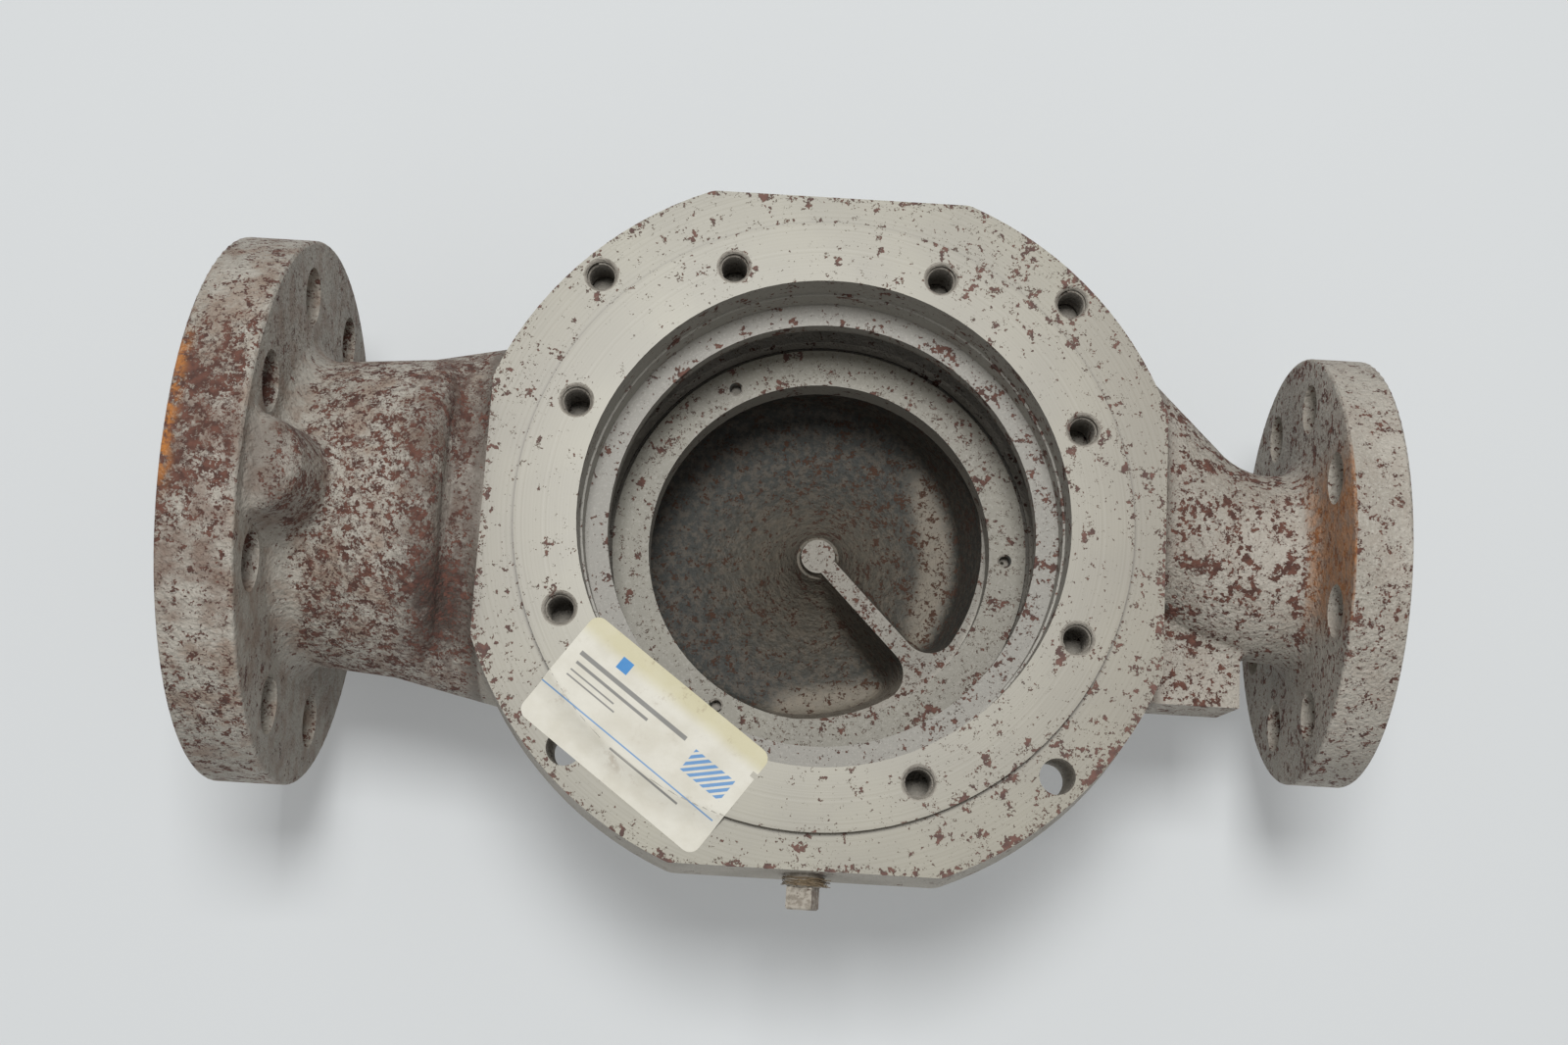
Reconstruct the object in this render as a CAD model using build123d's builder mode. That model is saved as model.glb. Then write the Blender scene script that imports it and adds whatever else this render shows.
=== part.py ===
"""Volute pump casing: an in-line casting with side suction and side discharge flanges.

Frame: millimetres, the shaft axis is Z, the raised gasket face of the cover joint is Z = 0 and
looks up, +X points out of the discharge flange and -X out of the suction flange.
"""

import os
from math import cos, radians, sin, tan

from build123d import *

os.makedirs("parts", exist_ok=True)

# ---------------------------------------------------------------- cover joint, turned about Z
bore_d = 180.2              # spigot bore of the cover
bore_step_depth = 15.6
bore_relief = 0.8           # the bore steps in this much below
ledge_depth = 26.7
ledge_w = 9.3               # the impeller passes through the opening in the ledge
ledge_t = 7.6

stud_wall = 10.9            # from the bore out to the circle of the tapped holes
stud_count = 8              # blind tapped holes, half way between the centre lines
stud_hole_d = 10.8
stud_hole_depth = 24.0
stud_mouth_d = 13.2         # countersunk mouth of each tapped hole
register_rim = 12.0         # from that circle out to the edge of the raised gasket face
register_h = 3.0            # height of the gasket face above the cast flange face
cover_margin = 12.0         # from the raised face out to the flats of the cover flange
cover_flat_cut = 9.0        # depth that each flat takes off the round outline
cover_corner_r = 8.0        # where a flat runs into the round part
lug_edge = 9.4              # from the round outline in to the four corner holes
lug_tapped_depth = 20.0     # the two on the +Y side are blind and tapped
lug_plain_d = 13.0          # the two on the -Y side go through
cover_t = 31.0              # cast thickness below the raised face
cover_draft = 6.0           # degrees, the side widens downwards
cover_cast_shift = -1.2     # the cast outline sits this far off the turned centre in Y
edge_break = 1.0

# ---------------------------------------------------------------- volute and impeller eye
volute_r_min = 95.0         # wetted radius just past the tongue
volute_r_max = 132.0        # wetted radius at the throat
volute_growth = 1.6         # power law by which the radius grows round the scroll
casting_wall = 9.0
scroll_skin_share = 0.325   # outer corner radius of the scroll, as a share of its growth
ring_depth = 66.0           # faced seat of the wear ring, below the gasket face
ring_step = 4.0             # it stands this far above the scroll floor
ring_seat_w = 14.5
eye_d = 135.2
eye_land = 14.0             # length of the bored eye
ring_screw_wall = 6.1       # from the eye out to the three tapped holes in the seat
ring_screw_count = 3
ring_screw_d = 4.2
ring_screw_mouth_d = 5.6
ring_screw_depth = 11.0

# ---------------------------------------------------------------- suction chamber below the eye
chamber_margin = 4.4        # its wetted radius at the top, more than that of the eye
chamber_offset = 6.0        # the chamber is swung this far towards -X and +Y
chamber_depth = 41.0
chamber_draft = 8.0
rib_t = 7.0                 # splitter rib that stops pre-swirl
rib_nose_r = 6.8
rib_heading = -45.0         # degrees from +X
rib_root_r = 11.0
cone_top_r = 8.5            # guide cone on the chamber floor, under the rib's nose
cone_drop = 4.5
cone_waist = (22.0, 22.5)   # its radius there, and how far that lies below its top
cone_foot_r = 54.0
bowl_round = 16.0
foot_d = 118.0              # plain round foot under the chamber

# ---------------------------------------------------------------- nozzles
nozzle_drop = 51.0          # both nozzle centre lines lie this far below the gasket face
suction_gap = 73.4          # between the back of the suction flange and the cover flange
suction_od = 210.0
suction_t = 28.6
suction_raised_d = 127.0
suction_bolt_edge = 20.85   # from the rim in to the bolt circle
suction_hole_d = 22.2
suction_bore_d = 77.9
suction_neck_d = 117.0
suction_neck_stop = 14.0    # the round neck ends this far short of the cover flange
suction_neck_end_d = 127.0
suction_neck_round = 9.0
suction_root_start = (113.0, 96.0)      # root that carries the neck on to the scroll: width, height
suction_root_end = (146.0, 92.0)
suction_root_lap = 45.0     # it starts this far inside the neck
suction_root_l = 74.0
suction_bored = 8.4         # the machined bore runs this far past the flange
suction_flow_d = 81.0       # the cast passage after it
suction_flow_level = 24.0   # its level run before it dips
suction_flow_slope = 42.0   # length of the slope along X
suction_flow_r = 42.0
suction_flow_drop = 21.5    # its centre line ends this far under the eye
suction_flow_mid = (112.0, 40.0)        # width and height half way
suction_flow_end = (92.0, 37.0)         # and where it meets the chamber
suction_end_x = -30.0
belly_sag = 9.0             # cast skin of that passage: its centre line starts this much lower
belly_level = 30.0
belly_slope = 48.0
belly_r = 55.0
belly_start = (100.0, 92.0)
belly_mid = (134.0, 68.0)
belly_end = (114.0, 60.0)
discharge_straight = 8.4    # from the end of its bend to the back of the discharge flange
discharge_od = 165.0
discharge_t = 22.2
discharge_raised_d = 92.1
discharge_bolt_edge = 19.0
discharge_hole_d = 19.1
discharge_bore_d = 52.5
discharge_neck_d = 74.0
nozzle_bolts = 8
raised_face_h = 1.6
hub_round = 8.0             # cast round between a neck and its flange
throat_heading = -48.4      # degrees from +X, way of the flow at the throat
throat_overlap = 5.0        # the throat reaches this far inside the smallest scroll radius
throat_h = 34.0             # height of the passage there
throat_lead = 6.0           # the discharge passage starts this far before the tangent point
bend_r = 60.0               # centre line radius where the discharge turns to +X

# ---------------------------------------------------------------- small cast features
gauge_boss_d = 34.0         # undrilled boss on the back of the suction flange
gauge_boss_l = 17.5         # how far it stands off the flange
gauge_boss_drop = 9.0       # its top below the top of the rim
gauge_boss_draft = 5.0
gauge_boss_round = 6.0
web_stop = 21.8             # flat web that ties the neck to the scroll, short of the flange
web_front_y = -55.6
web_back_y = 12.0           # buried in the neck
web_rise = 9.0              # its top above the nozzle centre line
web_fall = 29.0             # and its underside below
web_root_y = 30.0           # its root closes the gap under the cover flange as far as here

# ---------------------------------------------------------------- drain plug
port_depth = 17.0           # centre of the side port below the gasket face
plug_thread_d = 13.7
plug_engaged = 11.0         # thread inside the casing
plug_stand_off = 4.3        # thread left outside
port_drill_d = 8.0
head_square = 9.5
head_l = 8.0
plug_lead = 1.2             # chamfer at the outer end of the thread
head_break = 0.6
head_turn = 18.0            # degrees, how far the head stands turned from square

# ---------------------------------------------------------------- sizes that follow
inner_bore_d = bore_d - 2 * bore_relief
ledge_d = bore_d - 2 * ledge_w
stud_pcd = bore_d + 2 * stud_wall
register_d = stud_pcd + 2 * register_rim
cover_flats = register_d + 2 * cover_margin
cover_corner_d = cover_flats + 2 * cover_flat_cut
lug_pcd = cover_corner_d - 2 * lug_edge

volute_floor = ring_depth + ring_step
scroll_skin_r = scroll_skin_share * (volute_r_max - volute_r_min)
ring_d = eye_d + 2 * ring_seat_w
ring_screw_pcd = eye_d + 2 * ring_screw_wall
chamber_r = eye_d / 2 + chamber_margin

flange_face = -register_h
flange_under = flange_face - cover_t
scroll_top = -(ledge_depth + ledge_t)
scroll_under = -(volute_floor + casting_wall)
eye_under = -(ring_depth + eye_land)
chamber_floor = eye_under - chamber_depth
foot_bottom = -nozzle_drop - suction_od / 2
bowl_under = chamber_floor - casting_wall
nozzle_z = -nozzle_drop
chamber_x = -chamber_offset
chamber_y = chamber_offset

throat_d = volute_r_max - volute_r_min + throat_overlap
throat_r = volute_r_max - throat_d / 2
throat_along = Vector(1, 0).rotate(Axis.Z, throat_heading)
throat_start = throat_along.rotate(Axis.Z, 90) * throat_r - throat_along * throat_lead
bend_corner_x = throat_r / sin(radians(-throat_heading))
bend_end_x = bend_corner_x + bend_r * tan(radians(-throat_heading / 2))
discharge_back = bend_end_x + discharge_straight
discharge_face_x = discharge_back + discharge_t
discharge_pcd = discharge_od - 2 * discharge_bolt_edge
web_right_x = discharge_back - web_stop
web_top_z = nozzle_z + web_rise
web_bottom_z = nozzle_z - web_fall

suction_back = -cover_flats / 2 - suction_gap
suction_face_x = suction_back - suction_t
suction_pcd = suction_od - 2 * suction_bolt_edge
suction_neck_end_x = -cover_flats / 2 - suction_neck_stop
suction_root_x = suction_neck_end_x - suction_root_lap
suction_cast_x = suction_back + suction_bored
suction_dip_x = suction_cast_x + suction_flow_level
suction_low_z = eye_under - suction_flow_drop
belly_dip_x = suction_cast_x + belly_level
gauge_boss_h = suction_od / 2 - gauge_boss_drop


def scroll_points(extra):
    """Points of the growing scroll, clockwise from the tongue to the throat."""
    start = 16.0
    end = 90.0 + throat_heading - 360.0
    steps = 9
    points = []
    for i in range(steps + 1):
        turn = i / steps
        radius = volute_r_min + (volute_r_max - volute_r_min) * turn**volute_growth + extra
        angle = radians(start + (end - start) * turn)
        points.append((radius * cos(angle), radius * sin(angle)))
    return points


def along_x(x, z):
    """Plane square to X: its own x runs along +Y and its own y along +Z."""
    return Plane(origin=(x, 0, z), x_dir=(0, 1, 0), z_dir=(1, 0, 0))


flanges = [
    (suction_face_x, -1, suction_od, suction_t, suction_raised_d),
    (discharge_face_x, 1, discharge_od, discharge_t, discharge_raised_d),
]
bolt_circles = [
    (suction_face_x, -1, suction_pcd, suction_hole_d, suction_t),
    (discharge_face_x, 1, discharge_pcd, discharge_hole_d, discharge_t),
]
port_side_y = cover_cast_shift - cover_flats / 2 - (port_depth - register_h) * tan(radians(cover_draft))
port_plane = Plane(origin=(0, port_side_y, -port_depth), x_dir=(1, 0, 0), z_dir=(0, -1, 0))

# Centre line of the discharge: off the scroll along its tangent, then round to +X.
with BuildLine() as flow_line:
    FilletPolyline(
        (throat_start.X, throat_start.Y, nozzle_z),
        (bend_corner_x, 0, nozzle_z),
        (discharge_back, 0, nozzle_z),
        radius=bend_r,
    )

# Centre lines of the suction: level at its flange, down a slope, then level under the scroll.
with BuildLine() as dip_line:
    FilletPolyline(
        (suction_cast_x, 0, nozzle_z),
        (suction_dip_x, 0, nozzle_z),
        (suction_dip_x + suction_flow_slope, 0, suction_low_z),
        (suction_end_x, 0, suction_low_z),
        radius=suction_flow_r,
    )
with BuildLine() as belly_line:
    FilletPolyline(
        (suction_cast_x, 0, nozzle_z - belly_sag),
        (belly_dip_x, 0, nozzle_z - belly_sag),
        (belly_dip_x + belly_slope, 0, suction_low_z),
        (suction_end_x, 0, suction_low_z),
        radius=belly_r,
    )


def across(path, way, x_dir):
    """Plane square to a centre line, part way along it."""
    return Plane(origin=path.line @ way, x_dir=x_dir, z_dir=path.line % way)


# ================================================================ casting
with BuildPart() as pump_casing:
    # Cover flange: a round outline cut by four flats, widening downwards, with its raised face.
    with BuildSketch(Plane.XY.offset(flange_face)) as cover_outline:
        with Locations((0, cover_cast_shift)):
            Circle(cover_corner_d / 2)
            Rectangle(cover_flats, cover_flats, mode=Mode.INTERSECT)
        fillet(cover_outline.vertices(), cover_corner_r)
    extrude(amount=-cover_t, taper=-cover_draft)
    with BuildSketch(Plane.XY.offset(flange_face)):
        Circle(register_d / 2)
    extrude(amount=register_h)

    # Scroll: one growing outline under the cover flange.
    with BuildSketch(Plane.XY.offset(scroll_under)):
        with BuildLine():
            outer = Spline(*scroll_points(casting_wall))
            Line(outer @ 1, outer @ 0)
        make_face()
        Circle(volute_r_min)
    extrude(amount=flange_under - scroll_under)
    fillet(pump_casing.edges().group_by(Axis.Z)[0], scroll_skin_r)

    # Discharge nozzle: leaves the scroll along its tangent and bends round to +X.
    with BuildSketch(across(flow_line, 0, (0, 0, 1))):
        Ellipse(throat_h / 2 + casting_wall, throat_d / 2 + casting_wall)
    with BuildSketch(across(flow_line, 1, (0, 0, 1))):
        Circle(discharge_neck_d / 2)
    sweep(path=flow_line.line, multisection=True)

    # Bowl of the suction chamber and the foot under it.
    with BuildSketch(Plane.XY.offset(scroll_under + casting_wall)):
        with Locations((chamber_x, chamber_y)):
            Circle(chamber_r + casting_wall)
    extrude(amount=bowl_under - scroll_under - casting_wall, taper=chamber_draft)
    fillet(pump_casing.edges().sort_by(Axis.Z)[0], bowl_round)
    with BuildSketch(Plane.XY.offset(foot_bottom)):
        Circle(foot_d / 2)
    extrude(amount=bowl_under - foot_bottom + casting_wall / 2)

    # Suction nozzle: a round neck, and the belly that dips and widens to pass below the scroll.
    with BuildSketch(along_x(suction_back, nozzle_z)):
        Circle(suction_neck_d / 2)
    with BuildSketch(along_x(suction_neck_end_x, nozzle_z)):
        Circle(suction_neck_end_d / 2)
    loft()
    neck_end = pump_casing.edges().filter_by_position(
        Axis.X, suction_neck_end_x - edge_break, suction_neck_end_x + edge_break)
    fillet(neck_end.filter_by(GeomType.CIRCLE), suction_neck_round)
    for root_x, size in (
            (suction_root_x, suction_root_start), (suction_root_x + suction_root_l, suction_root_end)):
        with BuildSketch(along_x(root_x, nozzle_z)):
            Ellipse(size[0] / 2, size[1] / 2)
    loft()
    for way, size in ((0, belly_start), (0.5, belly_mid), (1, belly_end)):
        with BuildSketch(across(belly_line, way, (0, 1, 0))):
            Ellipse(size[0] / 2, size[1] / 2)
    sweep(path=belly_line.line, multisection=True)

    # Flanges, with their raised faces.
    for face_x, way, od, thickness, raised_d in flanges:
        with BuildSketch(along_x(face_x - way * thickness, nozzle_z)):
            Circle(od / 2)
        extrude(amount=way * (thickness - raised_face_h))
        with BuildSketch(along_x(face_x - way * raised_face_h, nozzle_z)):
            Circle(raised_d / 2)
        extrude(amount=way * raised_face_h)

    # Cast rounds between each neck and its flange, and the broken edges of the rims.
    for back_x in (suction_back, discharge_back):
        rings = pump_casing.edges().filter_by_position(Axis.X, back_x - edge_break, back_x + edge_break)
        fillet(rings.sort_by(SortBy.LENGTH)[0], hub_round)
    for od in (suction_od, discharge_od):
        circles = pump_casing.edges().filter_by(GeomType.CIRCLE)
        fillet(circles.filter_by(lambda edge: abs(edge.radius - od / 2) < edge_break), edge_break)

    # Undrilled gauge boss that climbs from the suction hub up the back of its flange.
    with BuildSketch(Plane.XY.offset(nozzle_z + gauge_boss_h)):
        with Locations((suction_back + gauge_boss_l - gauge_boss_d / 2, 0)):
            Circle(gauge_boss_d / 2)
    extrude(amount=suction_neck_d / 2 - gauge_boss_h - hub_round, taper=-gauge_boss_draft)
    boss_top = nozzle_z + gauge_boss_h
    boss_rim = pump_casing.edges().filter_by_position(
        Axis.Z, boss_top - edge_break, boss_top + edge_break)
    fillet(boss_rim.sort_by(Axis.X)[-1], gauge_boss_round)

    # Web that ties the discharge neck to the scroll.
    web_w = web_right_x - volute_r_min
    with BuildSketch(Plane.XY.offset(web_bottom_z)):
        with Locations((web_right_x, web_front_y)):
            Rectangle(web_w, web_back_y - web_front_y, align=(Align.MAX, Align.MIN))
    extrude(amount=web_top_z - web_bottom_z)
    web_root_w = cover_flats / 2 - volute_r_min
    with BuildSketch(Plane.XY.offset(web_top_z)):
        with Locations((cover_flats / 2, web_front_y)):
            Rectangle(web_root_w, web_root_y - web_front_y, align=(Align.MAX, Align.MIN))
    extrude(amount=flange_under - web_top_z)

    # Suction passage, bored at the flange and cast on its way below the scroll.
    with BuildSketch(along_x(suction_face_x, nozzle_z)):
        Circle(suction_bore_d / 2)
    extrude(amount=suction_cast_x - suction_face_x + edge_break, mode=Mode.SUBTRACT)
    with BuildSketch(across(dip_line, 0, (0, 1, 0))):
        Circle(suction_flow_d / 2)
    for way, size in ((0.5, suction_flow_mid), (1, suction_flow_end)):
        with BuildSketch(across(dip_line, way, (0, 1, 0))):
            Ellipse(size[0] / 2, size[1] / 2)
    sweep(path=dip_line.line, multisection=True, mode=Mode.SUBTRACT)

    # Suction chamber: a swung round bowl that the splitter rib cuts into from its wall.
    with BuildSketch(Plane.XY.offset(eye_under)):
        with Locations((chamber_x, chamber_y)):
            Circle(chamber_r)
        with Locations(Rotation(0, 0, rib_heading)):
            Rectangle(2 * chamber_r, rib_t, align=(Align.MIN, Align.CENTER), mode=Mode.SUBTRACT)
        offset(amount=-rib_root_r)
        offset(amount=rib_root_r)
        Circle(rib_nose_r, mode=Mode.SUBTRACT)
    extrude(amount=-chamber_depth, taper=chamber_draft, mode=Mode.SUBTRACT)

    # Guide cone that stands on the chamber floor, its top just below the rib's nose.
    cone_top = eye_under - cone_drop
    cone_bottom = chamber_floor - casting_wall / 2
    with BuildSketch(Plane.XZ):
        with BuildLine():
            ThreePointArc(
                (cone_top_r, cone_top),
                (cone_waist[0], cone_top - cone_waist[1]),
                (cone_foot_r, chamber_floor),
            )
            Polyline(
                (cone_foot_r, chamber_floor),
                (cone_foot_r, cone_bottom),
                (0, cone_bottom),
                (0, cone_top),
                (cone_top_r, cone_top),
            )
        make_face()
    revolve(axis=Axis.Z)

    # Scroll passage and the discharge passage that leaves it.
    with BuildSketch(Plane.XY.offset(-volute_floor)):
        with BuildLine():
            inner = Spline(*scroll_points(0))
            Line(inner @ 1, inner @ 0)
        make_face()
        Circle(volute_r_min)
    extrude(amount=volute_floor + scroll_top, mode=Mode.SUBTRACT)
    with BuildSketch(across(flow_line, 0, (0, 0, 1))):
        Ellipse(throat_h / 2, throat_d / 2)
    with BuildSketch(across(flow_line, 1, (0, 0, 1))):
        Circle(discharge_bore_d / 2)
    sweep(path=flow_line.line, multisection=True, mode=Mode.SUBTRACT)
    with BuildSketch(along_x(discharge_face_x, nozzle_z)):
        Circle(discharge_bore_d / 2)
    extrude(amount=discharge_back - discharge_face_x, mode=Mode.SUBTRACT)

    # Wear ring seat and the bored eye.
    with BuildSketch(Plane.XY.offset(-volute_floor)):
        Circle(ring_d / 2)
    extrude(amount=volute_floor - ring_depth)
    with BuildSketch(Plane.XY.offset(-ring_depth)):
        Circle(eye_d / 2)
    extrude(amount=-eye_land, mode=Mode.SUBTRACT)

    # Stepped spigot bore down to the ledge.
    bore_steps = [(bore_step_depth, bore_d), (ledge_depth, inner_bore_d), (-scroll_top, ledge_d)]
    for depth, diameter in bore_steps:
        with BuildSketch():
            Circle(diameter / 2)
        extrude(amount=-depth, mode=Mode.SUBTRACT)

    # Tapped stud holes round the gasket face, each with a countersunk mouth.
    with Locations(Plane.XY):
        with PolarLocations(stud_pcd / 2, stud_count, start_angle=180 / stud_count):
            Hole(stud_hole_d / 2, depth=stud_hole_depth)
            Cone(0, stud_mouth_d / 2, stud_mouth_d / 2,
                 align=(Align.CENTER, Align.CENTER, Align.MAX), mode=Mode.SUBTRACT)

    # Corner holes of the cover flange: two tapped ones at +Y, two plain ones at -Y.
    with Locations(Plane.XY.offset(flange_face)):
        with PolarLocations(lug_pcd / 2, 2, start_angle=45, angular_range=180):
            Hole(stud_hole_d / 2, depth=lug_tapped_depth)
            Cone(0, stud_mouth_d / 2, stud_mouth_d / 2,
                 align=(Align.CENTER, Align.CENTER, Align.MAX), mode=Mode.SUBTRACT)
        with PolarLocations(lug_pcd / 2, 2, start_angle=-135, angular_range=180):
            Hole(lug_plain_d / 2, depth=-flange_under)

    # Screw holes of the wear ring.
    with Locations(Plane.XY.offset(-ring_depth)):
        with PolarLocations(ring_screw_pcd / 2, ring_screw_count):
            Hole(ring_screw_d / 2, depth=ring_screw_depth)
            Cone(0, ring_screw_mouth_d / 2, ring_screw_mouth_d / 2,
                 align=(Align.CENTER, Align.CENTER, Align.MAX), mode=Mode.SUBTRACT)

    # Bolt holes of both nozzle flanges, straddling the centre lines.
    for face_x, way, pcd, hole_d, thickness in bolt_circles:
        with BuildSketch(along_x(face_x, nozzle_z)):
            with PolarLocations(pcd / 2, nozzle_bolts, start_angle=180 / nozzle_bolts):
                Circle(hole_d / 2)
        extrude(amount=-way * thickness, mode=Mode.SUBTRACT)

    # Side port of the drain plug: tapped from outside, drilled on into the spigot bore.
    with BuildSketch(port_plane.offset(plug_stand_off)):
        Circle(plug_thread_d / 2)
    extrude(amount=-plug_stand_off - plug_engaged, mode=Mode.SUBTRACT)
    with BuildSketch(port_plane):
        Circle(port_drill_d / 2)
    extrude(amount=port_side_y + bore_d / 4, mode=Mode.SUBTRACT)

pump_casing.part.label = "pump_casing"
export_step(pump_casing.part, "parts/pump_casing.step")

# ================================================================ drain plug
with BuildPart() as drain_plug:
    with BuildSketch(port_plane.offset(-plug_engaged)):
        Circle(plug_thread_d / 2)
    extrude(amount=plug_engaged + plug_stand_off)
    chamfer(drain_plug.edges().sort_by(Axis.Y)[0], plug_lead)
    with BuildSketch(port_plane.offset(plug_stand_off)):
        Rectangle(head_square, head_square, rotation=head_turn)
    extrude(amount=head_l)
    chamfer(drain_plug.faces().sort_by(Axis.Y)[0].edges(), head_break)

drain_plug.part.label = "drain_plug"
export_step(drain_plug.part, "parts/drain_plug.step")
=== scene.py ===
"""Looks of the volute pump casing: the sand cast body, its drain plug, its fibres and its label."""

import math
import random

import bmesh
import bpy
from mathutils import Matrix, Vector


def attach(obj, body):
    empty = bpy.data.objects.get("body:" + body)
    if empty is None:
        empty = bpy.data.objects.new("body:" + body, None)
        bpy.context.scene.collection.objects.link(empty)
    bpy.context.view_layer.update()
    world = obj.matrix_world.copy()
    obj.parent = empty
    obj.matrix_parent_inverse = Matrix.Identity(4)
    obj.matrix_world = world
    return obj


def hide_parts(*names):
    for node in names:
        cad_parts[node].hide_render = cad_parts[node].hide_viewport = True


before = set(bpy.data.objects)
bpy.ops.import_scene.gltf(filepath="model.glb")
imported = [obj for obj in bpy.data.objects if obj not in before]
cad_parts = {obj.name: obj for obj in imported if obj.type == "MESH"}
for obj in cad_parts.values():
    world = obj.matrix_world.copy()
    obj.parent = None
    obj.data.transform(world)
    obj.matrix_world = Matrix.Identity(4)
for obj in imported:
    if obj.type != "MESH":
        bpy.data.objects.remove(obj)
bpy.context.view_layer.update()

MM = 0.001

# ---------------------------------------------------------------- sizes shared by several pieces, in mm
BORE_R = 90.1
REGISTER_R = 113.0
REGISTER_H = 3.0
STUD_CIRCLE_R = 101.0
CORNER_CIRCLE_R = 124.6
TAPPED_R = 5.4
LEDGE_UNDER = -34.3
RING_SEAT_Z = -66.0
EYE_R = 67.6
EYE_END_Z = -80.0
NOZZLE_Z = -51.0
FLOOR_Z = -156.1        # just under the foot, so that the two faces don't coincide
CAD_MERGE = 2e-6        # in metres; it joins the loose triangles of a CAD mesh


# ================================================================ finishes as expressions
class Wire:
    """One socket of a finish, on which arithmetic can be written."""

    def __init__(self, finish, socket):
        self.finish = finish
        self.socket = socket

    def maths(self, operation, *values):
        return self.finish.maths_of(operation, *values)

    def __add__(self, other):
        return self.maths("ADD", self, other)

    def __sub__(self, other):
        return self.maths("SUBTRACT", self, other)

    def __rsub__(self, other):
        return self.maths("SUBTRACT", other, self)

    def __mul__(self, other):
        return self.maths("MULTIPLY", self, other)

    def __pow__(self, other):
        return self.maths("POWER", self, other)

    __radd__ = __add__
    __rmul__ = __mul__

    def highest(self, other):
        return self.maths("MAXIMUM", self, other)

    def lowest(self, other):
        return self.maths("MINIMUM", self, other)

    def size(self):
        return self.maths("ABSOLUTE", self)

    def rise(self, start, end):
        """0 before start, 1 after end, soft between them; it falls where start is the larger."""
        low, high = min(start, end), max(start, end)
        eased = self.finish.node(
            "ShaderNodeMapRange", {"interpolation_type": "SMOOTHSTEP"},
            {"Value": self, "From Min": low, "From Max": high})
        return eased if end > start else 1 - eased

    def band(self, low, high, edge):
        """1 between two values, fading out over the edge on both sides."""
        return self.rise(low - edge, low + edge) * self.rise(high + edge, high - edge)


class Finish:
    """A material written as expressions on its place in the row frame, in millimetres."""

    def __init__(self, name):
        self.material = bpy.data.materials.new(name)
        self.material.use_nodes = True
        self.tree = self.material.node_tree
        self.tree.nodes.clear()
        spot = self.node("ShaderNodeTexCoord", out="Object")
        place = self.node("ShaderNodeVectorMath", {"operation": "SCALE"}, {0: spot, "Scale": 1 / MM})
        self.place = place
        self.x = self.node("ShaderNodeSeparateXYZ", {}, {0: place}, out="X")
        self.y = self.node("ShaderNodeSeparateXYZ", {}, {0: place}, out="Y")
        self.z = self.node("ShaderNodeSeparateXYZ", {}, {0: place}, out="Z")
        self.radius = (self.x * self.x + self.y * self.y) ** 0.5
        self.facing = self.node("ShaderNodeNewGeometry", out="True Normal")
        self.toward_x = self.node("ShaderNodeSeparateXYZ", {}, {0: self.facing}, out="X")
        self.up = self.node("ShaderNodeSeparateXYZ", {}, {0: self.facing}, out="Z")

    def node(self, kind, settings=None, sockets=None, out=0):
        """Any node: its settings, then the values or wires of its sockets; gives one output back."""
        made = self.tree.nodes.new(kind)
        for name, value in (settings or {}).items():
            setattr(made, name, value)
        for name, value in (sockets or {}).items():
            if isinstance(value, Wire):
                self.tree.links.new(value.socket, made.inputs[name])
            elif isinstance(value, tuple) and len(value) == 3 and made.inputs[name].type == "RGBA":
                made.inputs[name].default_value = (*value, 1.0)
            else:
                made.inputs[name].default_value = value
        return Wire(self, made.outputs[out]) if len(made.outputs) else made

    def maths_of(self, operation, *values):
        return self.node("ShaderNodeMath", {"operation": operation}, dict(enumerate(values)))

    def noise(self, scale, detail=3.0, roughness=0.5, place=None):
        """Cloudy noise about 0.5; scale counts its lumps in 100 mm."""
        return self.node("ShaderNodeTexNoise", {}, {
            "Vector": place or self.place, "Scale": scale / 100, "Detail": detail, "Roughness": roughness})

    def moved(self, amount):
        """The place shifted, so that two noises of one scale differ."""
        return self.node("ShaderNodeVectorMath", {"operation": "ADD"}, {0: self.place, 1: amount})

    def mix(self, share, under, over):
        """One colour laid over another by a share from 0 to 1."""
        return self.node(
            "ShaderNodeMix", {"data_type": "RGBA"}, {0: share, 6: under, 7: over}, out=2)

    def bump(self, height, reach):
        """A normal from a height; reach is what a height of 1 stands for, in millimetres."""
        return self.node("ShaderNodeBump", {}, {"Height": height, "Distance": reach * MM, "Strength": 1.0})

    def close(self, colour, roughness, normal=None, metallic=0.0, specular=0.5, glow=0.0):
        sockets = {"Base Color": colour, "Roughness": roughness, "Metallic": metallic}
        if glow:
            sockets.update({"Emission Color": (0.97, 0.99, 1.0), "Emission Strength": glow})
        sockets["Specular IOR Level"] = specular
        if normal is not None:
            sockets["Normal"] = normal
        body = self.node("ShaderNodeBsdfPrincipled", {}, sockets)
        self.node("ShaderNodeOutputMaterial", {}, {"Surface": body})
        return self.material


def paint(red, green, blue):
    """A colour read off as 0 to 255, as the shader wants it."""
    def straight(value):
        value /= 255
        return value / 12.92 if value <= 0.04045 else ((value + 0.055) / 1.055) ** 2.4
    return (straight(red), straight(green), straight(blue))


# ================================================================ finishes of this casting
PRIMER = paint(153, 149, 133)
BARE_GREY = paint(150, 147, 138)
SAND_SKIN = paint(158, 152, 141)
RUST_DARK = paint(80, 56, 49)
RUST_MID = paint(106, 72, 61)
RUST_ORANGE = paint(186, 122, 62)
OIL_AND_HOLE_SHADE = paint(62, 55, 46)
RUST_SPAN = 0.094       # chosen; how far the share moves the level of the rust


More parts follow.
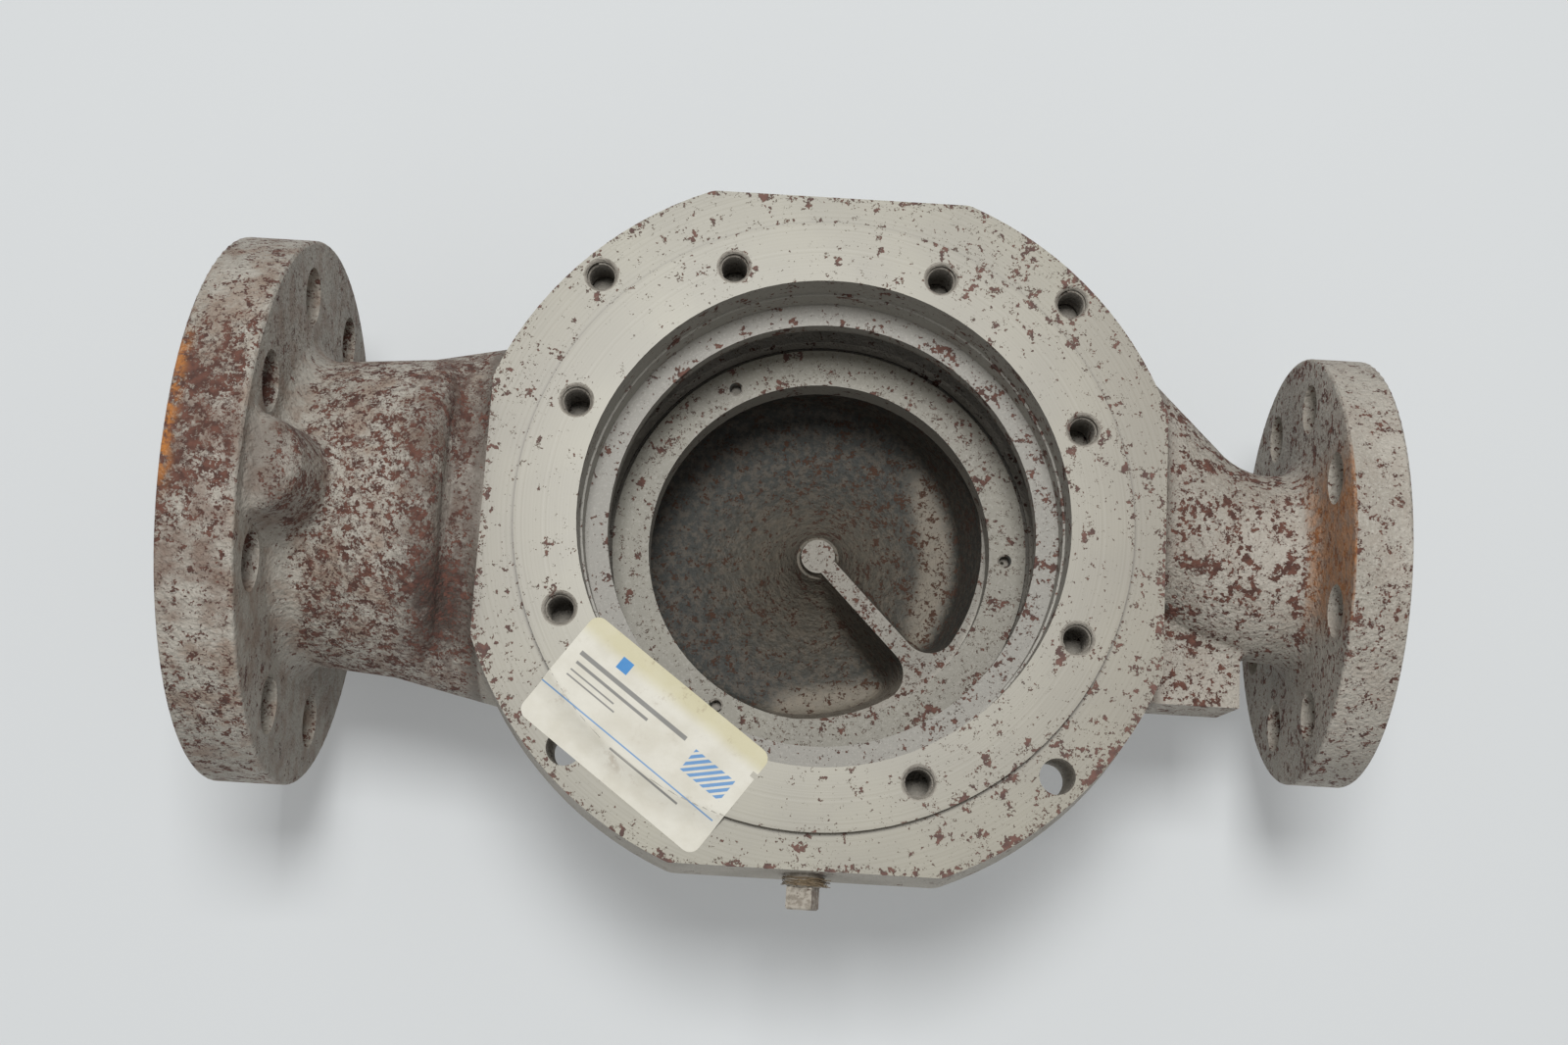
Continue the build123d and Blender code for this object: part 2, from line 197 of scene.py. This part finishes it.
def rust_specks(finish, share, reach, seed):
    """Ragged specks of rust in clumps of a reach in mm; a larger share, from 0 to 1, shows more."""
    clumps = finish.noise(100 / reach, detail=2.0, roughness=0.6, place=finish.moved(seed))
    crumbs = finish.noise(400 / reach, detail=3.0, roughness=0.68, place=finish.moved(seed[::-1]))
    # The level that the noise has to pass; it changes fastest where the share is near 0.
    spare = 0.5 - share
    level = 0.5 + (spare * 2.5 + spare ** 5 * 27.0) * RUST_SPAN
    return (clumps * 0.5 + crumbs * 0.5 - level).rise(-0.004, 0.014)


def near_holes(finish, circle_r, count, first):
    """Distance in mm from the axis of the nearest of several holes on a circle about Z."""
    step = math.tau / count
    angle = finish.maths_of("ARCTAN2", finish.y, finish.x)
    turned = finish.maths_of("FLOORED_MODULO", angle - (first - step / 2), step) - step / 2
    across = finish.radius * finish.maths_of("SINE", turned)
    outward = finish.radius * finish.maths_of("COSINE", turned) - circle_r
    return (across * across + outward * outward) ** 0.5


def casting_finish():
    """Thin pale primer over a sand cast skin and machined faces, with brown rust coming through."""
    f = Finish("primed_cast_iron")
    x, y, z, r, up = f.x, f.y, f.z, f.radius, f.up

    # Where on the casting this point is, each as a share from 0 to 1.
    inward = f.node(
        "ShaderNodeVectorMath", {"operation": "DOT_PRODUCT"}, {0: f.facing, 1: f.place}, out="Value")
    looks_in = (inward - up * z).rise(4.0, -4.0)
    on_joint = z.rise(-4.2, -3.4) * r.rise(141.0, 139.0)
    flat_face = on_joint * up.rise(0.75, 0.95)
    below_joint = z.rise(-31.0, -36.0)
    in_bore = r.rise(92.0, 90.6) * z.rise(-35.0, -34.2) * (1 - flat_face)
    from_middle = ((x + 6.0) * (x + 6.0) + (y - 6.0) * (y - 6.0)) ** 0.5
    in_chamber = from_middle.rise(75.0, 73.5) * z.rise(-124.0, -122.0) * z.rise(-79.0, -81.0)
    in_scroll = looks_in * r.rise(136.0, 133.0) * below_joint * z.rise(-72.0, -70.5)
    ring_seat = z.band(RING_SEAT_Z - 0.4, RING_SEAT_Z + 0.4, 0.25) * up.rise(0.8, 0.95) * r.rise(84.0, 82.5)
    eye_wall = r.rise(EYE_R + 1.4, EYE_R + 0.6) * z.band(EYE_END_Z, RING_SEAT_Z - 0.2, 0.4)
    inner = in_chamber.highest(in_scroll) * (1 - ring_seat) * (1 - eye_wall)
    necks = x.size().rise(116.0, 134.0) * (1 - on_joint)
    suction_side = x.rise(-120.0, -140.0)
    rims = x.rise(-198.0, -199.5).highest(x.rise(183.0, 184.6))

    stud_gap = near_holes(f, STUD_CIRCLE_R, 8, math.radians(22.5))
    corner_gap = near_holes(f, CORNER_CIRCLE_R, 4, math.radians(45))
    hole_gap = stud_gap.lowest(corner_gap)
    in_hole = hole_gap.rise(6.3, 5.7) * z.rise(-32.0, -28.0) * (1 - up.size().rise(0.5, 0.9))

    # Base colours, from the palest faces down to the dark cavity.
    cloud = f.noise(3.0, detail=3.0)
    grit = f.noise(90.0, detail=3.0, roughness=0.7)
    pale = f.mix(cloud.rise(0.3, 0.7), PRIMER, paint(145, 141, 127))
    skin = f.mix(cloud.rise(0.35, 0.65), SAND_SKIN, paint(174, 168, 157))
    to_right = x.rise(-60.0, 90.0)
    # The joint face darkens towards both sides, more towards +X; the darkening towards +X is painted shade.
    pale = f.mix(x.size().rise(70.0, 125.0) * 0.22 + to_right * 0.18, pale, paint(126, 117, 105))
    colour = f.mix(flat_face.highest(ring_seat), skin, pale)
    colour = f.mix(in_bore.highest(eye_wall), colour, BARE_GREY)
    # Darker low in the bore and on the ring seat: painted shade of the recess, with some of the ring seat's
    # own darker tone.
    colour = f.mix(in_bore * z.rise(-24.0, -28.0) * 0.3, colour, paint(112, 108, 102))
    colour = f.mix(ring_seat * 0.3, colour, paint(104, 100, 93))
    lit_near_nose = r.rise(60.0, 8.0)
    # The cavity's dark grey is partly its own colour and partly painted shade.
    cavity = f.mix(cloud, paint(66, 67, 63), paint(50, 52, 49))
    crust = f.noise(30.0, detail=4.0, roughness=0.7).rise(0.42, 0.62) * 0.45
    cavity = f.mix(crust, cavity, paint(110, 99, 86))
    # Paler floor near the nose and towards -Y, where light falls in through the eye: painted light.
    cavity = f.mix(lit_near_nose * y.rise(50.0, 10.0) * 0.4, cavity, paint(140, 130, 114))
    # Painted light: paler patches toward the outer edge of the chamber floor, where light falls in through
    # the eye.
    lit_land = from_middle.band(50.0, 63.0, 4.0) * x.rise(34.0, 46.0)
    lit_south = from_middle.rise(50.0, 60.0) * y.rise(-40.0, -52.0) * (x - y).rise(34.0, 50.0)
    cavity = f.mix(lit_land.highest(lit_south) * 0.55, cavity, paint(166, 156, 140))
    colour = f.mix(inner, colour, cavity)
    # The insides of the tapped holes are darkened: partly old oil, partly painted shade.
    colour = f.mix(in_hole, colour, OIL_AND_HOLE_SHADE)
    pale_grit = (grit - 0.5).rise(0.0, 0.16) * (0.2 + necks * 0.2) * (1 - flat_face) * (1 - inner)
    colour = f.mix(pale_grit, colour, paint(198, 194, 184))

    # Stains: broad brown shade on the necks, dark streaks in the valley beside the cover flange.
    stain = f.noise(9.0, detail=5.0, roughness=0.6, place=f.moved((31.0, 7.0, 5.0)))
    colour = f.mix(necks * stain.rise(0.42, 0.66) * (0.16 + suction_side * 0.42), colour, paint(126, 98, 78))
    long_place = f.node("ShaderNodeVectorMath", {"operation": "MULTIPLY"}, {0: f.place, 1: (1.0, 1.0, 0.16)})
    streak = f.noise(26.0, detail=4.0, place=long_place)
    valley = x.band(-150.0, -127.0, 5.0) * z.rise(4.0, -12.0) * y.size().rise(70.0, 52.0)
    colour = f.mix(valley * streak.rise(0.42, 0.6) * 0.75, colour, paint(86, 60, 50))

    # Darker on the suction neck beside the cover flange, more so towards -Y: partly dirt, partly painted
    # shade.
    shaded = x.band(-152.0, -127.0, 9.0) * y.band(-54.0, 42.0, 12.0) * (0.6 + y.rise(-14.0, -34.0) * 0.5)
    colour = f.mix(shaded * stain.rise(0.26, 0.5) * 0.9, colour, paint(72, 60, 53))
    flange_back = (f.toward_x * x).rise(0.0, -90.0) * x.size().rise(176.0, 182.0)
    # The backs of the flanges, facing the casing, are darker: painted shade.
    colour = f.mix(flange_back * 0.25, colour, paint(100, 95, 89))
    boss = x.band(-200.0, -184.0, 6.0) * z.rise(6.0, 22.0) * y.size().rise(22.0, 10.0)
    colour = f.mix(boss * 0.6, colour, paint(88, 76, 67))
    # A dark band on the necks just under the edge of the cover flange: painted shade.
    shade_under_cover = x.size().rise(134.0, 126.5) * x.size().rise(124.0, 125.5) * z.rise(-1.0, -6.0) * (1 - on_joint)
    colour = f.mix(shade_under_cover * y.size().rise(100.0, 60.0) * 0.7, colour, paint(84, 74, 66))
    # A dark line round the foot of the register step: partly dirt, partly painted shade.
    foot_line = r.band(112.9, 114.1, 0.5) * on_joint
    colour = f.mix(foot_line * 0.5, colour, paint(88, 80, 70))

    # Rust: sparse on the joint face, denser on the necks and their rims, and along edges and holes.
    edge_gap = (125.0 - x.size()).lowest(125.0 - (y + 1.2).size()).lowest(134.0 - r)
    by_edge = edge_gap.rise(4.0, 0.5) * on_joint
    by_step = r.band(111.5, 115.5, 1.5) * flat_face
    by_hole = hole_gap.rise(9.5, 6.5) * flat_face
    patch = f.noise(2.2, detail=2.0, place=f.moved((3.0, 40.0, 9.0))).rise(0.3, 0.7)
    rib_top = r.rise(68.0, 66.5) * z.rise(-83.5, -82.5) * up.rise(0.6, 0.9)
    outer_band = r.rise(113.0, 118.0) * flat_face
    on_faces = 0.035 + patch * 0.1 + to_right * 0.07 + by_edge * 0.2 + by_hole * 0.08 + by_step * 0.08
    on_faces = on_faces + outer_band * 0.05 + in_bore * 0.09
    on_faces = on_faces + ring_seat * 0.1 + eye_wall * 0.05 + rib_top * 0.16
    on_necks = 0.3 + patch * 0.08 + suction_side * 0.08 - rims * (1 - suction_side) * 0.16
    up_the_rim = y.rise(-40.0, 0.0) * 0.27 - y.rise(30.0, 54.0) * 0.25
    on_flange = 0.1 + patch * 0.14 + x.rise(-199.0, -202.0) * up_the_rim
    on_necks = on_necks + (on_flange - on_necks) * x.rise(-186.0, -197.0)
    share = on_faces + (on_necks - on_faces) * necks
    share = share + inner * 0.12
    coarse_share = share - suction_side * 0.2 - rib_top * 0.14 - inner * 0.08
    fine_share = share * (0.5 + suction_side * 0.4) + rims * 0.12 + inner * 0.1
    dust_share = share * (0.5 + suction_side * 0.3) + (ring_seat + rims) * 0.05
    coarse = rust_specks(f, coarse_share, 8.0, (5.0, 11.0, 2.0))
    fine = rust_specks(f, fine_share, 4.4, (50.0, 3.0, 8.0))
    dust = rust_specks(f, dust_share, 2.2, (5.0, 30.0, 80.0))
    rust = coarse.highest(fine).highest(dust * 0.7)
    rust_tone = f.noise(30.0, detail=3.0, place=f.moved((9.0, 9.0, 9.0)))
    rust_colour = f.mix(rust_tone.rise(0.35, 0.65), RUST_DARK, RUST_MID)
    rust_colour = f.mix(inner, rust_colour, paint(78, 56, 44))
    haze = x.rise(-199.0, -202.0) * y.band(-56.0, 34.0, 14.0)
    colour = f.mix(haze * stain.rise(0.3, 0.6) * 0.5, colour, paint(104, 84, 74))

    # Fresh orange rust on the outer edge of the suction rim and round one hole of the discharge flange.
    rim_streak = x.rise(-219.0, -224.0) * y.band(-12.0, 42.0, 8.0) * z.rise(20.0, 40.0)
    hole_stain = x.rise(178.0, 182.0) * flange_back * z.rise(-40.0, 0.0) * y.band(-26.0, 30.0, 10.0)
    orange = rim_streak.highest(hole_stain * 0.8)
    flakes = f.noise(22.0, detail=5.0, roughness=0.65, place=f.moved((4.0, 4.0, 60.0)))
    fresh = orange * flakes.rise(0.4, 0.56)

    colour = f.mix(rust * (1 - in_hole * 0.7), colour, rust_colour)
    colour = f.mix(hole_stain * 0.55, colour, paint(132, 86, 52))
    colour = f.mix(fresh * (0.5 + rim_streak * 0.4), colour, RUST_ORANGE)

    # Sand cast skin is coarse, machined faces carry only fine turning marks and lifted rust.
    rough_skin = 1 - flat_face.highest(in_bore).highest(ring_seat).highest(eye_wall)
    lumps = f.noise(14.0, detail=3.0, roughness=0.5)
    grains = f.noise(58.0, detail=2.0, roughness=0.55)
    turning = f.noise(90.0, detail=1.0, place=f.node(
        "ShaderNodeCombineXYZ", {}, {"X": r, "Y": 0.0, "Z": z}))
    wander = r + (cloud - 0.5) * 60.0 + (lumps - 0.5) * 8.0
    swirl = f.noise(26.0, detail=3.0, place=f.node(
        "ShaderNodeCombineXYZ", {}, {"X": wander, "Y": z, "Z": 0.0}))
    height = rough_skin * (lumps * 0.4 + grains * (0.8 + necks * 0.3)) + (1 - rough_skin) * turning * 0.02
    height = height + inner * (swirl * 0.5 - grains * 0.2)
    height = height + rust * 0.10
    normal = f.bump(height, 1.1)
    roughness = 0.5 + rust * 0.3 - in_hole * 0.15 + rough_skin * 0.2 - flat_face * 0.13
    return f.close(colour, roughness, normal, specular=0.5)


def plug_finish():
    """Dull iron with specks of rust, browner on the faces that look towards +X."""
    f = Finish("plug_iron")
    cloud = f.noise(60.0, detail=4.0)
    colour = f.mix(cloud.rise(0.4, 0.62), paint(168, 161, 149), paint(136, 128, 116))
    right_face = f.toward_x.rise(0.3, 0.9)
    colour = f.mix(right_face * cloud.rise(0.3, 0.5) * 0.6, colour, paint(104, 86, 74))
    rust = rust_specks(f, 0.1, 3.0, (1.0, 2.0, 3.0))
    colour = f.mix(rust, colour, RUST_DARK)
    return f.close(colour, 0.6 + rust * 0.25, f.bump(cloud + rust * 0.3, 0.25), specular=0.4)


def fibre_finish():
    f = Finish("sealing_fibre")
    cloud = f.noise(80.0, detail=3.0)
    colour = f.mix(cloud, paint(152, 136, 112), paint(98, 82, 64))
    return f.close(colour, 0.9, f.bump(cloud, 0.2), specular=0.2)


# ================================================================ meshes
scene = bpy.context.scene


def settled(piece):
    """Makes the piece's modifiers part of its mesh."""
    graph = bpy.context.evaluated_depsgraph_get()
    finished = bpy.data.meshes.new_from_object(piece.evaluated_get(graph), depsgraph=graph)
    piece.modifiers.clear()
    piece.data = finished
    return piece


def object_of(name, bm):
    mesh = bpy.data.meshes.new(name)
    bm.to_mesh(mesh)
    bm.free()
    piece = bpy.data.objects.new(name, mesh)
    scene.collection.objects.link(piece)
    return piece


def finished_piece(piece, material, sharp_above=32.0):
    """Smooth shading with crisp edges, one material, and the casting's body to ride on."""
    piece.data.materials.clear()
    piece.data.materials.append(material)
    piece.data.shade_smooth()
    piece.data.set_sharp_from_angle(angle=math.radians(sharp_above))
    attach(piece, "root")
    return piece


def turned(bm, outline, steps=96, place=Matrix.Identity(4)):
    """Turns an outline of (radius, height) in mm, from axis to axis, about Z and then places it."""
    points = [bm.verts.new((radius * MM, 0.0, height * MM)) for radius, height in outline]
    edges = [bm.edges.new(pair) for pair in zip(points, points[1:])]
    bmesh.ops.spin(bm, geom=points + edges, cent=(0, 0, 0), axis=(0, 0, 1), dvec=(0, 0, 0),
                   angle=math.tau, steps=steps, use_merge=True, use_duplicate=False)
    bmesh.ops.remove_doubles(bm, verts=bm.verts, dist=1e-7)
    fresh = {v for v in bm.verts if not v.tag}
    bmesh.ops.transform(bm, matrix=place, verts=list(fresh))
    for vert in bm.verts:
        vert.tag = True


def outward(bm):
    bmesh.ops.recalc_face_normals(bm, faces=bm.faces)


def cut_with(piece, tool, operation):
    """Joins or cuts a piece with a closed tool, which is then thrown away."""
    step = piece.modifiers.new(operation.lower(), "BOOLEAN")
    step.operation = operation
    step.solver = "MANIFOLD"
    step.object = tool
    settled(piece)
    bpy.data.objects.remove(tool)


def along_x(x):
    """Carries +Z of a turned shape onto +X of a nozzle."""
    return Matrix.Translation((x * MM, 0, NOZZLE_Z * MM)) @ Matrix.Rotation(math.radians(90), 4, "Y")


def drop_left_overs(piece):
    """Throws away the shading and the flat map that came with a CAD mesh."""
    for name in ("custom_normal", "UVMap"):
        if name in piece.data.attributes:
            piece.data.attributes.remove(piece.data.attributes[name])
    return piece


def merged_copy(node, name):
    """A closed copy of a CAD node's mesh."""
    bm = bmesh.new()
    bm.from_mesh(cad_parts[node].data)
    bmesh.ops.remove_doubles(bm, verts=bm.verts, dist=CAD_MERGE)
    return drop_left_overs(object_of(name, bm))


# ---------------------------------------------------------------- the casting
def foundry_fillets():
    """The casting's own form worn soft: it stands proud only in the inner corners of cast faces."""
    soft = merged_copy("pump_casing", "foundry_fillets")
    even = soft.modifiers.new("even", "REMESH")
    even.mode = "VOXEL"
    even.voxel_size = 2.0 * MM
    relaxed = soft.modifiers.new("relaxed", "SMOOTH")
    relaxed.factor = 0.5
    relaxed.iterations = 26
    shrunk = soft.modifiers.new("shrunk", "DISPLACE")
    shrunk.mid_level = 0.0
    shrunk.strength = -0.4 * MM
    settled(soft)

    cover_joint = [
        (0, 10), (122, 10), (122, LEDGE_UNDER), (84, LEDGE_UNDER), (84, -71), (70, -71), (70, -81), (0, -81)]
    suction_flange = [(0, -230), (107, -230), (107, -198.7), (41, -198.7), (41, -188), (0, -188)]
    discharge_flange = [(0, 182), (28, 182), (28, 184.1), (84, 184.1), (84, 210), (0, 210)]
    joint = bmesh.new()
    turned(joint, cover_joint)
    turned(joint, suction_flange, place=along_x(0))
    turned(joint, discharge_flange, place=along_x(0))
    outward(joint)
    cut_with(soft, object_of("machined_places", joint), "DIFFERENCE")

    holes = bmesh.new()
    for quarter in range(4):
        angle = math.radians(45 + 90 * quarter)
        spot = Matrix.Translation(
            (CORNER_CIRCLE_R * math.cos(angle) * MM, CORNER_CIRCLE_R * math.sin(angle) * MM, 0))
        turned(holes, [(0, -36), (8.5, -36), (8.5, 10), (0, 10)], steps=24, place=spot)
    side = Matrix.Translation((0, 0, -17 * MM)) @ Matrix.Rotation(math.radians(90), 4, "X")
    turned(holes, [(0, 100), (10, 100), (10, 150), (0, 150)], steps=24, place=side)
    outward(holes)
    cut_with(soft, object_of("hole_places", holes), "DIFFERENCE")
    return soft


def thread_ridge(bm, root_r, crest_r, top, bottom, pitch, place, steps=20):
    """One helical ridge, its root sunk a little into the wall that carries it."""
    half = pitch * 0.42
    ring = [bm.verts.new((radius * MM, 0, height * MM)) for radius, height in
            ((root_r, bottom - half), (crest_r, bottom), (root_r, bottom + half))]
    edges = [bm.edges.new((ring[i], ring[(i + 1) % 3])) for i in range(3)]
    turns = (top - bottom) / pitch
    count = int(turns * steps)
    bmesh.ops.spin(bm, geom=ring + edges, cent=(0, 0, 0), axis=(0, 0, 1), dvec=(0, 0, pitch * MM / steps),
                   angle=math.tau * count / steps, steps=count, use_duplicate=False)
    fresh = [v for v in bm.verts if not v.tag]
    bmesh.ops.transform(bm, matrix=place, verts=fresh)
    for vert in fresh:
        vert.tag = True


def tapped_threads():
    bm = bmesh.new()
    studs = (8, 22.5, 45.0, STUD_CIRCLE_R, 0.0, -21.0)
    corners = (2, 45.0, 90.0, CORNER_CIRCLE_R, -REGISTER_H, -17.0)
    for count, first, step, circle_r, mouth, end in (studs, corners):
        for i in range(count):
            angle = math.radians(first + i * step)
            spot = Matrix.Translation(
                (circle_r * math.cos(angle) * MM, circle_r * math.sin(angle) * MM, mouth * MM))
            thread_ridge(bm, TAPPED_R + 0.25, TAPPED_R - 0.55, -2.4, end, 1.75, spot)
    bmesh.ops.holes_fill(bm, edges=bm.edges, sides=3)
    outward(bm)
    return object_of("tapped_threads", bm)


def casting():
    body = merged_copy("pump_casing", "cast_body")
    cut_with(body, foundry_fillets(), "UNION")
    cut_with(body, tapped_threads(), "UNION")
    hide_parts("pump_casing")
    return finished_piece(body, casting_finish())


# ---------------------------------------------------------------- drain plug
PLUG_FACE_Y = -127.7
PLUG_R = 6.85
PORT_Z = -17.0


def along_port(depth):
    """Carries +Z of a shape onto the way out of the side port, from its face."""
    mouth = Matrix.Translation((0, (PLUG_FACE_Y - depth) * MM, PORT_Z * MM))
    return mouth @ Matrix.Rotation(math.radians(90), 4, "X")


def drain_plug():
    plug = merged_copy("drain_plug", "square_head_plug")
    ridge = bmesh.new()
    thread_ridge(ridge, PLUG_R - 0.3, PLUG_R + 0.35, 3.6, 0.6, 1.41, along_port(0), steps=32)
    bmesh.ops.holes_fill(ridge, edges=ridge.edges, sides=3)
    outward(ridge)
    cut_with(plug, object_of("plug_thread", ridge), "UNION")
    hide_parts("drain_plug")
    return finished_piece(plug, plug_finish())


def sealing_fibres():
    """Strands of sealing fibre wound on the plug's thread, ragged at their ends, most of them at +X."""
    strands = bpy.data.curves.new("sealing_fibres", "CURVE")
    strands.dimensions = "3D"
    strands.bevel_depth = 0.12 * MM
    strands.bevel_resolution = 0
    place = along_port(0)
    for i in range(60):
        start = random.uniform(0, math.tau)
        sweep = random.uniform(0.6, 2.4) * random.choice((-1, 1))
        radius = PLUG_R + random.uniform(0.35, 1.0)
        depth = random.uniform(0.6, 3.6)
        loose = random.uniform(0.2, 2.6) * (1.4 if math.cos(start + sweep) > 0 else 0.3)
        line = strands.splines.new("POLY")
        line.points.add(8)
        for k, point in enumerate(line.points):
            share = k / 8
            angle = start + sweep * share
            out = radius + random.uniform(-0.15, 0.15) + loose * max(0.0, share - 0.6) * 2.5
            along = depth + random.uniform(-0.25, 0.25) + loose * max(0.0, share - 0.6) * 0.8
            spot = place @ Vector((out * math.cos(angle) * MM, out * math.sin(angle) * MM, along * MM))
            point.co = (*spot, 1.0)
    drawn = bpy.data.objects.new("fibre_lines", strands)
    scene.collection.objects.link(drawn)
    graph = bpy.context.evaluated_depsgraph_get()
    mesh = bpy.data.meshes.new_from_object(drawn.evaluated_get(graph), depsgraph=graph)
    bpy.data.objects.remove(drawn)
    fibres = bpy.data.objects.new("sealing_fibres", mesh)
    scene.collection.objects.link(fibres)
    return finished_piece(fibres, fibre_finish(), 60.0)


# ---------------------------------------------------------------- paper label
LABEL_L = 81.4
LABEL_W = 45.0
LABEL_TURN = math.radians(-35.9)
LABEL_WAY = Vector((math.cos(LABEL_TURN), math.sin(LABEL_TURN), 0))
LABEL_OUT = Vector((LABEL_WAY.y, -LABEL_WAY.x, 0))
LABEL_MIDDLE = LABEL_OUT * 101.3 - LABEL_WAY * 0.6
PAPER_T = 0.18
PAPER_CORNER = 4.0


def paper_height(x, y):
    """Where the paper's underside lies: on the raised face, down its step, drooping over the bore."""
    radius = math.hypot(x, y)
    step = min(1.0, max(0.0, (radius - REGISTER_R) / 9.0))
    height = -REGISTER_H * (1 - (1 - step) ** 1.8)
    over_bore = max(0.0, BORE_R - radius)
    height -= 0.012 * over_bore ** 2
    hole_x, hole_y = (STUD_CIRCLE_R * part(math.radians(247.5)) for part in (math.cos, math.sin))
    gap = math.hypot(x - hole_x, y - hole_y)
    return height - 0.35 * math.exp(-(gap / 4.2) ** 2) + 0.06


def paper_label():
    bm = bmesh.new()
    bmesh.ops.create_grid(bm, x_segments=1, y_segments=1, size=0.5)
    bmesh.ops.scale(bm, verts=bm.verts, vec=(LABEL_L * MM, LABEL_W * MM, 1))
    bmesh.ops.bevel(bm, geom=bm.verts[:], offset=PAPER_CORNER * MM, affect="VERTICES", segments=6,
                    profile=0.5, material=-1)
    for count, length, way in ((80, LABEL_L, Vector((1, 0, 0))), (44, LABEL_W, Vector((0, 1, 0)))):
        for i in range(1, count):
            bmesh.ops.bisect_plane(
                bm, geom=bm.verts[:] + bm.edges[:] + bm.faces[:], dist=1e-7,
                plane_co=way * (i / count - 0.5) * length * MM, plane_no=way)
    # A small tear at the +X end, where the paper was bent over the edge of the bore.
    torn = []
    for face in bm.faces:
        spot = face.calc_center_median() / MM
        from_end = LABEL_L / 2 - spot.x
        if abs(spot.y - 13.5) < 1.6 - from_end * 0.55:
            torn.append(face)
    bmesh.ops.delete(bm, geom=torn, context="FACES")
    across = Matrix((LABEL_WAY, -LABEL_OUT, Vector((0, 0, 1)))).transposed().to_4x4()
    bmesh.ops.transform(bm, matrix=Matrix.Translation(LABEL_MIDDLE * MM) @ across, verts=bm.verts)
    for vert in bm.verts:
        vert.co.z = paper_height(vert.co.x / MM, vert.co.y / MM) * MM
    bmesh.ops.recalc_face_normals(bm, faces=bm.faces)
    label = object_of("paper_label", bm)
    body = label.modifiers.new("paper", "SOLIDIFY")
    body.thickness = PAPER_T * MM
    body.offset = 1.0
    settled(label)
    finished_piece(label, label_finish(), 50.0)
    return label


def label_finish():
    """Cream paper with a yellowed inner strip, and plain blue and grey fields where print would be."""
    f = Finish("label_paper")
    from_x, from_y = f.x - LABEL_MIDDLE.x, f.y - LABEL_MIDDLE.y
    along = from_x * LABEL_WAY.x + from_y * LABEL_WAY.y
    down = from_x * LABEL_OUT.x + from_y * LABEL_OUT.y

    def bar(left, right, level, thick, edge=0.12):
        return along.band(left, right, edge) * down.band(level - thick / 2, level + thick / 2, edge)

    cloud = f.noise(8.0, detail=4.0)
    fleck = f.noise(70.0, detail=3.0, roughness=0.6)
    paper = f.mix(cloud.rise(0.35, 0.7), paint(212, 209, 197), paint(202, 198, 184))
    aged = down.rise(-12.5, -18.5) * (0.7 + cloud * 0.6)
    paper = f.mix(aged.lowest(1.0) * 0.8, paper, paint(194, 187, 150))
    ink = paint(70, 72, 78)
    lines = bar(-36, 13, -8.0, 1.7).highest(bar(-35, -2, -4.4, 1.1))
    lines = lines.highest(bar(-35, -15, -1.2, 0.6)).highest(bar(-35, -13, 1.0, 0.6))
    lines = lines.highest(bar(-6, 25, 11.6, 0.8))
    paper = f.mix(lines * 0.72, paper, ink)
    blue = paint(58, 130, 190)
    fields = bar(-23, -18.2, -14.2, 4.8).highest(bar(-42, 38.5, 8.2, 0.55) * 0.8)
    paper = f.mix(fields, paper, blue)
    slant = f.maths_of("FLOORED_MODULO", along + down, 3.0)
    panel = bar(18, 36, -3.0, 9.0)
    paper = f.mix(panel * slant.rise(1.2, 1.35) * 0.85, paper, blue)
    grime = f.noise(14.0, detail=6.0, roughness=0.7, place=f.moved((80.0, 8.0, 0.0))).rise(0.56, 0.7)
    by_fold = f.radius.band(110.5, 117.5, 2.0) * 0.5 + f.radius.rise(93.0, 89.0) * 0.7
    paper = f.mix((grime * (0.1 + by_fold * 0.55)).lowest(0.6), paper, paint(134, 112, 88))
    wrinkle = f.noise(10.0, detail=3.0) + fleck * 0.06
    return f.close(paper, 0.55, f.bump(wrinkle, 0.5), specular=0.35)


# ---------------------------------------------------------------- stage
def stage():
    bm = bmesh.new()
    bmesh.ops.create_grid(bm, x_segments=1, y_segments=1, size=4.0)
    bmesh.ops.translate(bm, verts=bm.verts, vec=(0, 0, FLOOR_Z * MM))
    floor = object_of("table_top", bm)
    f = Finish("table_top")
    floor.data.materials.append(f.close(paint(194, 197, 198), 0.9, specular=0.0, glow=0.17))

    def soft_box(name, place, aim, width, power):
        lamp = bpy.data.lights.new(name, "AREA")
        lamp.shape = "SQUARE"
        lamp.size = width
        lamp.energy = power
        lamp_object = bpy.data.objects.new(name, lamp)
        scene.collection.objects.link(lamp_object)
        lamp_object.location = place
        lamp_object.rotation_euler = (Vector(aim) - Vector(place)).to_track_quat("-Z", "Y").to_euler()

    soft_box("upper_soft_box", (-0.04, 0.37, 1.7), (0, 0, -0.05), 0.5, 23.0)
    soft_box("front_soft_box", (0.0, -1.5, 1.0), (0, 0, -0.05), 1.0, 1.5)

    world = bpy.data.worlds.new("studio")
    world.use_nodes = True
    air = world.node_tree.nodes["Background"]
    air.inputs["Color"].default_value = (1.0, 1.0, 1.0, 1.0)
    air.inputs["Strength"].default_value = 0.35
    scene.world = world
    scene.view_settings.view_transform = "Standard"

    camera = bpy.data.cameras.new("viewpoint")
    camera.lens = 44.375
    camera.sensor_width = 36.0
    camera.clip_end = 20.0
    viewpoint = bpy.data.objects.new("viewpoint", camera)
    scene.collection.objects.link(viewpoint)
    viewpoint.location = (-0.01459, -0.137345, 0.688817)
    viewpoint.rotation_euler = tuple(math.radians(a) for a in (11.0537, -0.6555, 3.3276))
    scene.camera = viewpoint


random.seed(7)
casting()
drain_plug()
sealing_fibres()
paper_label()
stage()
